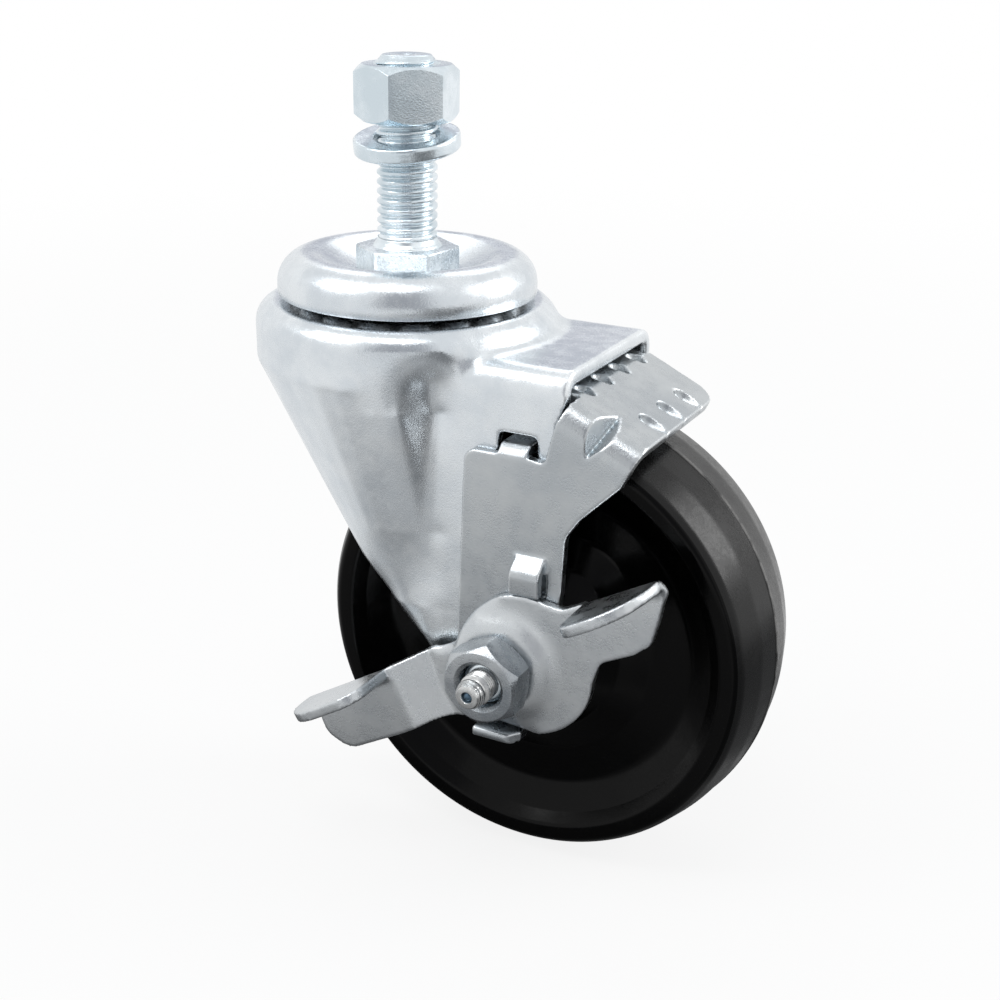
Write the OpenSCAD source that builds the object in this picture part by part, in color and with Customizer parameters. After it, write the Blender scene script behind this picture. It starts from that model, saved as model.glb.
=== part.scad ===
// Threaded stem castor: a double ball raceway fork, a 101.6 mm wheel on a roller
// bearing, and a top lock brake that a two way foot lever works. Millimetres, +Z up.
// The origin is on the swivel axis, on the top face of the stem's hexagon.
// The wheel trails towards +X and the brake lever is on the -Y side.

/* [Wheel] */
// Wheel diameter
wheel_d = 101.6; // [75:0.1:127]
// Tread width
wheel_w = 31.75; // [25:0.05:40]
// Thickness of the thrust washers beside the hub
thrust_t = 1.4; // [1:0.1:2]
// Swivel offset, from the swivel axis to the axle
trail = 37.3; // [25:0.1:50]
// Depth of the axle below the stem's hexagon
axle_drop = 78.8; // [70:0.1:100]

/* [Stem] */
// Thread diameter of the stud
stud_d = 12.7; // [10:0.1:16]
// Length of the stud above the hexagon
stud_l = 38.1; // [20:0.1:60]
// Lower stretch of the stud that the mounting plate takes
stud_seat_l = 17.5; // [8:0.5:20]
// Width across the flats of the stem's hexagon and of the mounting nut
stem_af = 19.05; // [17:0.05:24]
// Height of the stem's hexagon
stem_hex_h = 5.2; // [4:0.1:8]
// Turn of the stem's hexagon
stem_hex_turn = 23; // [0:1:59]
// Height of the mounting nut
nut_h = 11.1; // [8:0.1:14]
// Height of the mounting nut's lower face on the stud
nut_z = 25.2; // [20:0.1:27]
// Turn of the mounting nut
nut_turn = 40.6; // [0:0.1:59.9]
// Lean of the loose lock washer
washer_lean = 9.5; // [0:0.5:10]

/* [Swivel head] */
// Sheet thickness of the bearing cap
cap_t = 2.4; // [2:0.1:3]
// Radius of the upper ball circle
upper_ring_r = 21.2; // [18:0.1:24]
// Upper ball diameter
upper_ball_d = 7.94; // [6:0.01:8]
// Number of upper balls
upper_ball_n = 16; // [8:1:16]
// Radius of the lower ball circle
lower_ring_r = 13.5; // [12:0.1:15]
// Lower ball diameter
lower_ball_d = 6.35; // [5:0.01:6.5]
// Number of lower balls
lower_ball_n = 12; // [8:1:13]

/* [Fork] */
// Sheet thickness of the fork
fork_t = 3; // [2.5:0.1:4]
// Outer radius of the fork's crown
crown_r = 32.5; // [30:0.1:36]
// Width over the outside of the legs
leg_span = 43.7; // [40:0.1:50]
// Rear end of the hood
hood_x = 47.56; // [42:0.1:50]
// Top of the hood
hood_z = -16; // [-20:0.1:-14]
// Where the round front of a leg steps in to its flat side
crease_x = 17.6; // [14:0.1:22]

/* [Axle] */
// Axle diameter
axle_d = 9.525; // [8:0.005:12]
// Width across the flats of the axle nut and the axle's head
axle_af = 15.875; // [14:0.005:18]
// Height of the axle nut
axle_nut_h = 7.9; // [6:0.1:9]
// Turn of the axle nut
axle_nut_turn = 24.5; // [0:0.5:59.5]
// Bore of the grease channel
grease_bore_d = 2.6; // [2:0.1:4]

/* [Wheel bearing] */
// Outer diameter of the spanner bushing
bushing_d = 12.7; // [11:0.1:14]
// Number of rollers
roller_n = 8; // [6:1:9]
// Roller diameter
roller_d = 4.6; // [4:0.05:5]
// Roller length
roller_l = 28; // [20:0.5:30]

/* [Brake] */
// Sheet thickness of the brake plate and the lever
brake_t = 2.4; // [2:0.1:3]
// Radius of the lever's cam
cam_r = 15.6; // [14:0.1:17]
// Offset of the cam's centre from the axle
cam_e = 5.3; // [4:0.1:6]
// Direction of the cam's centre when the brake is off, half of the lever's swing
cam_turn = 18; // [12:1:22]
// Slope of the brake shoe
shoe_slope = 25; // [15:1:35]
// Step of the left pedal's arm away from the wheel
arm_step = 4; // [2:0.1:5]

/* [Hidden] */
axle_x = trail;
axle_z = -axle_drop;
wheel_r = wheel_d / 2;
tread_z = axle_z + wheel_r;
hub_w = leg_span - 2 * (fork_t + thrust_t + 0.15);
stud_r = stud_d / 2;
nut_stretch_r = stud_r - 0.18;
cap_mid_z = -stem_hex_h - cap_t;
ring_z = cap_mid_z + 0.1;
upper_groove_r = upper_ball_d / 2 + 0.05;
lower_groove_r = lower_ball_d / 2 + 0.05;
crown_top_z = ring_z - 3.4;
crown_under_z = crown_top_z - fork_t;
lower_ring_z = crown_under_z - 2.3;
race_under_z = lower_ring_z - lower_groove_r - cap_t;
race_seat_z = race_under_z + cap_t;
shank_r = 8;
rivet_r = 6.4;
leg_out = leg_span / 2;
leg_in = leg_out - fork_t;
arm_in = leg_out + 0.1;
arm_out = arm_in + brake_t;
lever_in = arm_out + 0.25;
lever_out = lever_in + brake_t;
boss_out = lever_out + 2;
sleeve_out = boss_out + 0.05;
nut_in = sleeve_out + 0.05;
nut_out = nut_in + axle_nut_h;
axle_near = nut_out - 2.3;
cam_x = axle_x + cam_e * cos(cam_turn);
cam_z = axle_z + cam_e * sin(cam_turn);
travel = 2 * cam_e * sin(cam_turn);
skin = 0.02;
leg_edge = wheel_w / 2 + 2.2;
foot_z = axle_z - 3.8;
shoe_x = axle_x + 11.2;
shoe_z = tread_z + 7.06;
shoe_l = 17.43;
lug_z = axle_z + 25.4;
$fn = 96;

zinc = [0.78, 0.81, 0.84];
steel = [0.66, 0.68, 0.70];
brass = [0.78, 0.62, 0.32];
black = [0.07, 0.07, 0.08];

// Rounded outlines: each point is [x, y, corner radius].
function unit(v) = v / norm(v);
function wrap(a) = a > 180 ? a - 360 : a < -180 ? a + 360 : a;
function corner(p, q, s, r) =
    r <= 0 ? [q] :
    let (u = unit(p - q), v = unit(s - q), half = acos(max(-1, min(1, u * v))) / 2)
    half > 89 ? [q] :
    let (c = q + unit(u + v) * r / sin(half), reach = r / tan(half),
        a = q + u * reach - c, b = q + v * reach - c,
        start = atan2(a[1], a[0]), sweep = wrap(atan2(b[1], b[0]) - start),
        n = max(2, ceil(abs(sweep) / 15)))
    [for (i = [0:n]) c + r * [cos(start + sweep * i / n), sin(start + sweep * i / n)]];
function flat(p) = [p[0], p[1]];
function rounded(pts) = [for (i = [0:len(pts) - 1])
    each corner(flat(pts[(i + len(pts) - 1) % len(pts)]), flat(pts[i]), flat(pts[(i + 1) % len(pts)]), pts[i][2])];

// An outline in x and z, given as polygon points, as a plate between two distances on the -Y side.
module side(a, b) translate([0, -a, 0]) rotate([90, 0, 0]) linear_extrude(b - a) children();

// A turned piece on the axle: the child outline is in radius and distance towards -Y.
module on_axle() translate([axle_x, 0, axle_z]) rotate([90, 0, 0]) rotate_extrude() children();

// A hexagon with its corners turned down at the chosen ends.
module hexagon(af, h, low, high) intersection() {
    cylinder(d = af / cos(30), h = h, $fn = 6);
    rotate_extrude() polygon([[0, 0], [low ? af / 2 - 0.1 : af, 0], [low ? af / 2 + 1.3 : af, low ? 0.8 : 0],
        [high ? af / 2 + 1.3 : af, high ? h - 0.8 : h], [high ? af / 2 - 0.1 : af, h], [0, h]]);
}

// A spring lock washer with its cut.
module split_washer(r, bore, t) difference() {
    rotate_extrude() polygon(rounded([[bore, 0, 0.2], [r, 0, 0.5], [r, t, 0.5], [bore, t, 0.2]]));
    translate([(r + bore) / 2, 0, t / 2]) rotate([28, 0, 0]) cube([r - bore + 3, 1.1, 4 * t], center = true);
}

// Stem: the stud, its hexagon, and the shank that holds the two raceways, headed over at its foot.
module stem() color(zinc) {
    rotate(stem_hex_turn) translate([0, 0, -stem_hex_h]) cylinder(d = stem_af / cos(30), h = stem_hex_h, $fn = 6);
    rotate_extrude() polygon([[0, -1], [stud_r + 0.95, -1], [stud_r + 0.95, 0], [stud_r, 1.3], [stud_r, stud_seat_l],
        [nut_stretch_r, stud_seat_l + 0.2], [nut_stretch_r, stud_l - 1], [nut_stretch_r - 1, stud_l], [0, stud_l]]);
    rotate_extrude() polygon(rounded([[0, -1, 0], [shank_r, -1, 0], [shank_r, race_seat_z, 0],
        [rivet_r, race_seat_z, 0], [rivet_r, race_under_z, 0], [9.4, race_under_z, 0], [9.4, race_under_z - 2.4, 1.6],
        [0, race_under_z - 3, 0]]));
}

// Bearing cap: a pressed dish whose rolled rim is the upper raceway.
function arc(c, r, from, to, n) = [for (i = [0:n]) c + r * [cos(mix(from, to, i / n)), sin(mix(from, to, i / n))]];
module upper_race() color(zinc) rotate_extrude() polygon(concat([[shank_r + 0.05, -stem_hex_h], [stem_af / 2 / cos(30) + 0.1, -stem_hex_h]],
    arc([upper_ring_r, ring_z], upper_groove_r + cap_t, 114, 0, 10), [[upper_ring_r + upper_groove_r + cap_t, ring_z - 2],
    [upper_ring_r + upper_groove_r, ring_z - 2]], arc([upper_ring_r, ring_z], upper_groove_r, 0, 114, 8),
    [[11.2, cap_mid_z], [shank_r + 0.05, cap_mid_z]]));

// Lower raceway, seated on the shank's shoulder.
module lower_race() color(steel) rotate_extrude() difference() {
    polygon(rounded([[rivet_r + 0.03, race_under_z, 0], [19.1, race_under_z, 2.2], [19.1, lower_ring_z - 1, 0.6],
        [shank_r + 0.3, lower_ring_z - 1, 0.3], [shank_r + 0.3, race_seat_z, 0], [rivet_r + 0.03, race_seat_z, 0]]));
    translate([lower_ring_r, lower_ring_z]) circle(r = lower_groove_r);
}

module ball_ring(n, r, z, d) for (i = [0:n - 1]) rotate((i + 0.5) * 360 / n) translate([r, 0, z]) sphere(d = d, $fn = 48);

// Upper balls
module upper_balls() color(steel) ball_ring(upper_ball_n, upper_ring_r, ring_z, upper_ball_d);

// Lower balls
module lower_balls() color(steel) ball_ring(lower_ball_n, lower_ring_r, lower_ring_z, lower_ball_d);

// Lock washer, loose on the stud under the nut.
module lock_washer() color(zinc)
    translate([0, 0, 21]) rotate([washer_lean, 0, 0]) rotate(70) translate([0, 0, -1.55]) split_washer(11.1, 6.75, 3.1);

// Mounting nut
module mounting_nut() color(zinc) difference() {
    translate([0, 0, nut_z]) rotate(nut_turn) hexagon(stem_af, nut_h, true, true);
    translate([0, 0, nut_z - 1]) cylinder(r = nut_stretch_r + 0.07, h = nut_h + 2);
    for (z = [nut_z, nut_z + nut_h]) translate([0, 0, z]) rotate([z > nut_z ? 180 : 0, 0, 0])
        translate([0, 0, -0.01]) cylinder(r1 = nut_stretch_r + 0.9, r2 = nut_stretch_r + 0.05, h = 0.8);
}

// The round front of a leg lies on circles that shrink downwards: [z, x, y, radius].
leg_circles = [[-17.9, 0, 0, crown_r - 0.05], [-23, 0, 0, crown_r - 0.05], [axle_z + 16.3, axle_x - 28.1, 8.85 - leg_out, 12],
    [axle_z - 9.2, axle_x - 10.4, 4.35 - leg_out, 5]];
leg_levels = [-17.9, for (i = [0:12]) mix(-23, foot_z, i / 12)];
leg_sheet = fork_t - 0.1;
function mix(a, b, t) = a + (b - a) * t;
function soft(t) = t * t * (3 - 2 * t);
function circle_at(z, i = 0) = i == len(leg_circles) - 2 || z >= leg_circles[i + 1][0]
    ? mix(leg_circles[i], leg_circles[i + 1], (z - leg_circles[i][0]) / (leg_circles[i + 1][0] - leg_circles[i][0]))
    : circle_at(z, i + 1);
function crease_at(z) = crease_x + (-19 - z) * 0.045;
function arc_x(c, x) = max(-0.98, min(0.98, (x - c[1]) / c[3]));

// Outer face of a leg at one level: round from the front edge to the crease, then a soft step in to the flat.
function leg_outer(z) =
    let (c = circle_at(z), a = 180 - asin(max(-1, (-leg_edge - c[2]) / c[3])), b = 360 - acos(arc_x(c, crease_at(z) - 4.4)),
        x0 = c[1] + c[3] * cos(b), x1 = crease_at(z) + 2.6)
    concat([for (i = [0:8]) [c[1], c[2]] + c[3] * [cos(mix(a, b, i / 8)), sin(mix(a, b, i / 8))]],
        [for (i = [1:6]) let (x = mix(x0, x1, i / 6))
            [x, mix(c[2] - sqrt(max(0, c[3] * c[3] - (x - c[1]) * (x - c[1]))), -leg_out + 0.03, soft(i / 6))]],
        [[x1 + 1, -leg_out + 0.03]]);
function inset(pts, d) = [for (i = [0:len(pts) - 1])
    let (t = unit(pts[min(i + 1, len(pts) - 1)] - pts[max(i - 1, 0)])) pts[i] + d * [-t[1], t[0]]];
function leg_ring(z) = let (o = leg_outer(z), n = inset(o, leg_sheet)) concat(o, [for (i = [len(n) - 1:-1:0]) n[i]]);

// Round front of one leg, as rings joined from the crown down.
module leg_front() {
    rings = [for (z = leg_levels) [for (p = leg_ring(z)) [p[0], p[1], z]]];
    n = len(rings[0]);
    h = n / 2;
    last = (len(rings) - 1) * n;
    polyhedron(points = [for (r = rings) each r], faces = concat(
        [for (k = [0:len(rings) - 2]) for (i = [0:n - 1]) let (j = (i + 1) % n)
            each [[k * n + i, k * n + j, k * n + n + j], [k * n + i, k * n + n + j, k * n + n + i]]],
        [for (i = [0:h - 2]) each [[n - 1 - i, i + 1, i], [n - 1 - i, n - 2 - i, i + 1]]],
        [for (i = [0:h - 2]) each [[last + n - 1 - i, last + i, last + i + 1], [last + n - 1 - i, last + i + 1, last + n - 2 - i]]]));
}

// Cross section of the hood and the legs behind the crease.
module hood_section(w, top, r) polygon(rounded([[-w, -120, 0], [w, -120, 0], [w, top, r], [-w, top, r]]));

// Fork: one pressing with a ball groove in its crown, a hood behind it and two legs.
module fork() color(zinc) difference() {
    union() {
        // crown
        difference() {
            rotate_extrude() difference() {
                polygon(rounded([[10.2, crown_top_z, 0], [upper_ring_r + 7.3, crown_top_z, 0.1],
                    [crown_r, crown_top_z - 0.3, 4.6], [crown_r, -23, 0],
                    [crown_r - fork_t, -23, 0], [crown_r - fork_t, crown_under_z - 1.2, 2.5],
                    [lower_ring_r + 13, crown_under_z - 0.6, 2], [upper_ring_r + 2, ring_z - upper_groove_r - fork_t, 2],
                    [upper_ring_r - 2, ring_z - upper_groove_r - fork_t, 2], [upper_ring_r - 2.8, crown_under_z, 0.5],
                    [10.2, crown_under_z, 0]]));
                translate([upper_ring_r, ring_z]) circle(r = upper_groove_r);
                translate([lower_ring_r, lower_ring_z]) circle(r = lower_groove_r);
            }
            translate([crease_x - 4.4, -50, -60]) cube([60, 100, 60 + hood_z - fork_t]);
        }
        // hood and the flat of each leg
        difference() {
            intersection() {
                translate([crease_x - 3, 0, 0]) rotate([90, 0, 90]) linear_extrude(hood_x - crease_x + 3)
                    difference() {
                        hood_section(leg_out, hood_z, 4.5);
                        hood_section(leg_in, hood_z - fork_t, 1.5);
                    }
                side(-30, 30) polygon(rounded([[crease_at(0) + 2.6, 0, 0], [hood_x, 0, 0], [hood_x, hood_z - 5.4, 1.5],
                    [hood_x - 1.9, hood_z - 10.5, 4], [hood_x - 2, axle_z + 33.8, 40], [hood_x - 0.16, axle_z + 14.8, 20],
                    [axle_x + 12.3, axle_z - 4, 10], [axle_x + 4, axle_z - 13.2, 9], [axle_x - 8, axle_z - 11.5, 8],
                    [crease_at(foot_z) + 3, foot_z - 0.6, 2], [crease_at(foot_z) + 2.6, foot_z + 0.6, 0]]));
            }
            translate([0, -leg_in + 0.2, -24]) intersection() {
                translate([0, leg_in - 0.2, 0]) cylinder(r = crown_r - fork_t + 0.2, h = 20);
                cube([40, 2 * leg_in - 0.4, 20]);
            }
        }
        leg_front();
        mirror([0, 1, 0]) leg_front();
    }
    // axle holes, and the window that the brake plate's tab works in
    translate([axle_x, 60, axle_z]) rotate([90, 0, 0]) cylinder(d = axle_d + 0.3, h = 120);
    side(leg_in - 2, leg_out + 2) translate([axle_x, tread_z])
        polygon(rounded([[-4.2, -1.5, 0.8], [4.3, -1.5, 0.8], [4.3, -10.5, 0.8], [-4.2, -10.5, 0.8]]));
}

// Axle: a hollow bolt with a grease channel to the middle of the bearing.
module axle() color(steel) difference() {
    union() {
        on_axle() polygon([[0, -(leg_out + 3)], [axle_d / 2, -(leg_out + 3)], [axle_d / 2, axle_near - 0.8],
            [axle_d / 2 - 0.8, axle_near], [0, axle_near]]);
        translate([axle_x, leg_out + 2.2, axle_z]) rotate([-90, 0, 0]) rotate(12) hexagon(axle_af, 6, false, true);
    }
    on_axle() polygon([[0, -3], [grease_bore_d / 2, -2], [grease_bore_d / 2, axle_near - 4.5],
        [2.4, axle_near - 4.5], [2.4, axle_near + 1], [0, axle_near + 1]]);
    translate([axle_x, 0, axle_z]) cylinder(r = 1.2, h = 8);
}

// Lock washer under the axle's head
module axle_lock_washer() color(zinc)
    translate([axle_x, leg_out + 0.02, axle_z]) rotate([-90, 0, 0]) rotate(200) split_washer(8.6, 5, 2.15);

// Axle nut
module axle_nut() color(zinc) difference() {
    translate([axle_x, -nut_in, axle_z]) rotate([90, 0, 0]) rotate(axle_nut_turn) hexagon(axle_af, axle_nut_h, true, true);
    on_axle() polygon([[0, nut_in - 1], [axle_d / 2 + 0.05, nut_in - 1], [axle_d / 2 + 0.05, nut_out - 0.7],
        [axle_d / 2 + 0.75, nut_out + 0.01], [axle_d / 2 + 0.75, nut_out + 1], [0, nut_out + 1]]);
}

// Grease fitting, screwed into the end of the axle.
module grease_fitting() color(steel) on_axle() polygon([[0.7, axle_near - 3.6], [2.38, axle_near - 3.6],
    [2.38, axle_near], [2.6, axle_near + 0.1], [3.9, axle_near + 0.4], [3.9, axle_near + 3.4], [3.4, axle_near + 3.9],
    [2.5, axle_near + 4.2], [2, axle_near + 5], [2.05, axle_near + 5.4], [2.9, axle_near + 6], [2.95, axle_near + 6.6],
    [2.3, axle_near + 7.4], [1.05, axle_near + 7.4], [0.95, axle_near + 6.9], [1.45, axle_near + 6],
    [1.45, axle_near + 3], [0.7, axle_near + 2.4]]);

// Check ball of the grease fitting
module fitting_ball() color(steel) translate([axle_x, -(axle_near + 6.05), axle_z]) sphere(r = 1.22, $fn = 48);

// Pivot sleeve: the lever turns on it, and the brake plate slides past it.
module pivot_sleeve() color(steel) on_axle()
    translate([axle_d / 2 + 0.05, leg_out]) square([bushing_d / 2 - axle_d / 2 - 0.05, sleeve_out - leg_out]);

// Cone washer that presses the lever outwards against the axle nut.
module spring_washer() color(steel) on_axle() polygon([[6.75, lever_in + 1.2], [7.1, lever_in + 1.9],
    [9.3, lever_in + 0.6], [8.95, lever_in - 0.1]]);

// Spanner bushing, clamped between the legs.
module spanner_bushing() color(steel) difference() {
    on_axle() translate([axle_d / 2 + 0.05, -(leg_in - 0.05)]) square([bushing_d / 2 - axle_d / 2 - 0.05, 2 * leg_in - 0.1]);
    translate([axle_x, 0, axle_z]) cylinder(r = 1.2, h = 12);
}

module thrust_washer() on_axle() polygon(rounded([[bushing_d / 2 + 0.06, hub_w / 2 + 0.05, 0.2], [13, hub_w / 2 + 0.05, 0.4],
    [13, leg_in - 0.1, 0.4], [bushing_d / 2 + 0.06, leg_in - 0.1, 0.2]]));

// Thrust washer on the brake's side
module thrust_washer_near() color(zinc) thrust_washer();

// Thrust washer on the far side
module thrust_washer_far() color(zinc) mirror([0, 1, 0]) thrust_washer();

// Half of the wheel's section, from the bore out, in radius and distance from the middle.
tread_y = wheel_w / 2;
half_wheel = [[12.4, hub_w / 2, 0], [14.6, hub_w / 2, 0.8], [16.8, hub_w / 2 - 1.7, 2], [20.5, tread_y - 3.5, 3],
    [27, tread_y - 6.1, 3], [wheel_r - 15.3, tread_y - 6.1, 5], [wheel_r - 9.8, tread_y - 2.7, 3], [wheel_r - 7.2, tread_y - 0.5, 2],
    [wheel_r - 4, tread_y, 1.6], [wheel_r - 2.5, tread_y - 1.9, 3], [wheel_r - 0.9, 7.4, 12], [wheel_r, 0.5, 0.6]];
function flip(pts) = [for (i = [len(pts) - 1:-1:0]) [pts[i][0], -pts[i][1], pts[i][2]]];

// Wheel: rigid tread and hub in one moulding, with a parting line round the middle of the tread.
module wheel() color(black) on_axle() difference() {
    polygon(rounded(concat(half_wheel, flip(half_wheel))));
    translate([wheel_r + 0.3, 0]) circle(r = 0.45, $fn = 24);
}

// Steel sleeve pressed into the wheel's hub
module bearing_sleeve() color(steel) on_axle() translate([11, -hub_w / 2]) square([1.4, hub_w]);

// Roller cage
module roller_cage() color(brass) difference() {
    on_axle() translate([7, 0.8 - hub_w / 2]) square([3.4, hub_w - 1.6]);
    for (i = [0:roller_n - 1]) translate([axle_x, roller_l / 2 + 0.1, axle_z]) rotate([90, 0, 0])
        rotate(i * 360 / roller_n) translate([(bushing_d / 2 + 11) / 2, 0, 0]) cylinder(d = roller_d + 0.2, h = roller_l + 0.2, $fn = 32);
}

// Rollers
module rollers() color(steel) for (i = [0:roller_n - 1]) translate([axle_x, roller_l / 2, axle_z]) rotate([90, 0, 0])
    rotate(i * 360 / roller_n) translate([(bushing_d / 2 + 11) / 2, 0, 0]) cylinder(d = roller_d, h = roller_l, $fn = 48);

// The shoe's own frame: x down its slope, from the front of the bend, on its top face.
module shoe_frame() translate([shoe_x, 0, shoe_z]) rotate([0, shoe_slope, 0]) children();

// Section of the bend from the arm to the shoe, in y and z, with the shoe's top at z = 0.
module bend_section(far) polygon(concat([[-arm_in, -5], [-arm_out, -5]],
    [for (a = [180:-15:90]) [-arm_out + 5 + 5 * cos(a), -5 + 5 * sin(a)]], [[far, 0], [far, -brake_t]],
    [for (a = [90:15:180]) [-arm_out + 5 + (5 - brake_t) * cos(a), -5 + (5 - brake_t) * sin(a)]]));

// A point of the shoe's frame, in x and z.
function on_shoe(x, z) = [shoe_x + x * cos(shoe_slope) + z * sin(shoe_slope), shoe_z - x * sin(shoe_slope) + z * cos(shoe_slope)];

// A tooth: an almond shape turned about its long side, fuller towards the front.
module tooth(r, l) rotate([0, 90, 0]) rotate_extrude($fn = 32)
    polygon(concat([[0, -l / 2]], [for (i = [1:7]) [r * sin(i * 22.5) * (1 + 0.3 * cos(i * 22.5)), -l / 2 * cos(i * 22.5)]], [[0, l / 2]]));

// Teeth: pressed down from the top in two staggered rows, with the pressed hollow or the solid tooth under it.
module teeth(deep) {
    for (y = [-9.5, 0, 9.5]) shoe_frame() translate([13.9, y, deep ? 0.1 : -0.7]) tooth(deep ? 1.9 : 2.6, deep ? 7 : 7.8);
    for (y = [-13.2, -4.4, 4.4, 13.2]) shoe_frame() translate([-0.9, y, deep ? 0.3 : -0.7]) tooth(deep ? 1.9 : 2.6, deep ? 5.6 : 6.4);
}

// Dart pressed across the bend to stiffen it: the frame has z along its valley and y out of the corner.
module dart(w, low) shoe_frame() translate([8.4, -14.6, 0]) rotate([127.3, 0, 0]) translate([0, 0, -0.6]) linear_extrude(13.6)
    polygon([[0, -low], [w, 7], [-w, 7]]);

// Brake plate: the arm beside the leg, the shoe over the tread, and the two lugs that the cam moves.
module brake_plate() color(zinc) difference() {
    union() {
        // arm
        side(arm_in, arm_out) polygon(rounded([[axle_x - 3.4, tread_z - 5.2, 0.3],
            [axle_x + 3.6, tread_z - 5.2, 0.3], [axle_x + 7.1, tread_z - 5.6, 1.2], concat(on_shoe(0, -5), 0.5),
            concat(on_shoe(shoe_l, -5), 0), [axle_x + 23.3, tread_z - 7.9, 2], [axle_x + 15.1, tread_z - 16.1, 4],
            [axle_x + 12.3, tread_z - 20.3, 4], [axle_x + 11.8, axle_z + 18.8, 6], [axle_x + 10.3, axle_z + 4.8, 4],
            [axle_x + 9.7, axle_z - 9.2, 6], [axle_x + 5, axle_z - 14.2, 1], [axle_x + 5, axle_z - 16.1, 0.3],
            [axle_x - 5.1, axle_z - 16.1, 0.3], [axle_x - 5.1, axle_z - 14.2, 1], [axle_x - 9.9, axle_z - 7.2, 8],
            [axle_x - 11.7, axle_z + 4.8, 4], [axle_x - 10.6, tread_z - 5.2, 2.6]]));
        // shoe and its bend
        difference() {
            shoe_frame() rotate([90, 0, 90]) linear_extrude(shoe_l) bend_section(19);
            shoe_frame() translate([0, 0, -6]) linear_extrude(12) difference() {
                translate([shoe_l - 5.5, 13.5]) square([8, 8]);
                translate([shoe_l - 5.5, 13.5]) circle(r = 5.5);
            }
        }
        // tongue that reaches forward under the hood
        side(1.45 - leg_in, leg_in - 1.45) polygon([[shoe_x - 6, shoe_z + 0.84], [shoe_x, shoe_z], [shoe_x + 1.2, shoe_z - 0.56],
            [shoe_x + 0.2, shoe_z - 2.75], [shoe_x - 0.53, shoe_z - 2.4 / cos(8) - 0.07], [shoe_x - 6.33, shoe_z + 0.84 - 2.4 / cos(8) + 0.05]]);
        // teeth, standing down from the shoe
        intersection() {
            teeth(false);
            union() {
                shoe_frame() translate([5, -15, -5]) cube([15, 30, 4.2]);
                translate([shoe_x - 6.2, -16, shoe_z - 5]) rotate([0, 14, 0]) cube([9, 32, 4]);
            }
        }
        // inner side of the dart
        intersection() {
            dart(4.6, 3);
            shoe_frame() translate([3, 0, 0]) rotate([90, 0, 90]) linear_extrude(11) polygon(concat([[-arm_out + 0.03, -9.6]],
                [for (a = [180:-15:90]) [-arm_out + 5 + 4.97 * cos(a), -5 + 4.97 * sin(a)]], [[-12, -0.03], [-12, -9.6]]));
        }
        // tab through the leg's window
        translate([axle_x, 0, tread_z - 5.2]) rotate([90, 0, 90]) translate([0, 0, -3.2]) linear_extrude(6.4)
            polygon(rounded([[-arm_in, -2.5, 0], [-arm_out, -2.5, 0], [-arm_out, 2.2, 3.2], [2.25 - leg_in, 2.2, 0.4], [2.25 - leg_in, -0.2, 0.4],
                [-arm_in, -0.2, 0.8]]));
        // upper lug, lanced outwards above the cam
        translate([axle_x + 1.6, 0, 0]) rotate([90, 0, 90]) linear_extrude(6.6) polygon(rounded([[-arm_in, lug_z, 0], [-arm_out, lug_z, 1],
            [-arm_out - 3.4, lug_z - 3, 2.6], [-arm_out - 3.2, cam_z + cam_r + 0.15, 0.5], [-arm_out - 0.9, cam_z + cam_r + 0.15, 0.3],
            [-arm_out - 0.9, lug_z - 3.8, 1], [-arm_in, lug_z - 1.8, 0]]));
        // lower lug, bent outwards under the cam
        intersection() {
            translate([axle_x - 5.3, 0, 0]) rotate([90, 0, 90]) linear_extrude(10.4) polygon(rounded([[-arm_in, axle_z - 13.2, 0],
                [-arm_in, axle_z - 16.1, 2.2], [-arm_out - 5.1, cam_z - cam_r - 0.15 - brake_t, 1], [-arm_out - 5.1, cam_z - cam_r - 0.15, 0.8],
                [-arm_out, cam_z - cam_r - 0.15, 0.6], [-arm_out, axle_z - 13.2, 0]]));
            translate([axle_x, 0, axle_z - 20]) linear_extrude(12) polygon([[-6, -arm_out - 4.2], [-5, -arm_out - 5], [-4, -arm_out - 5.3],
                [2.2, -arm_out - 5.3], [3.4, -arm_out - 4.6], [5.3, -arm_out - 2], [6, -arm_out], [6, 0], [-6, 0]]);
        }
    }
    // slot for the pivot sleeve
    for (z = [0, travel + 0.1]) translate([axle_x, -leg_out - 8, axle_z + z]) rotate([-90, 0, 0]) cylinder(r = bushing_d / 2 + 0.12, h = 12);
    translate([axle_x - bushing_d / 2 - 0.12, -leg_out - 8, axle_z]) cube([bushing_d + 0.24, 12, travel + 0.1]);
    // opening that the upper lug is lanced from
    translate([axle_x + 1.4, -arm_out - 0.01, cam_z + cam_r - 0.4]) cube([7, brake_t + 0.02, lug_z - 2.6 - cam_z - cam_r]);
    // pressed side of the teeth and of the dart
    teeth(true);
    dart(4.6, 0);
}

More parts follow.
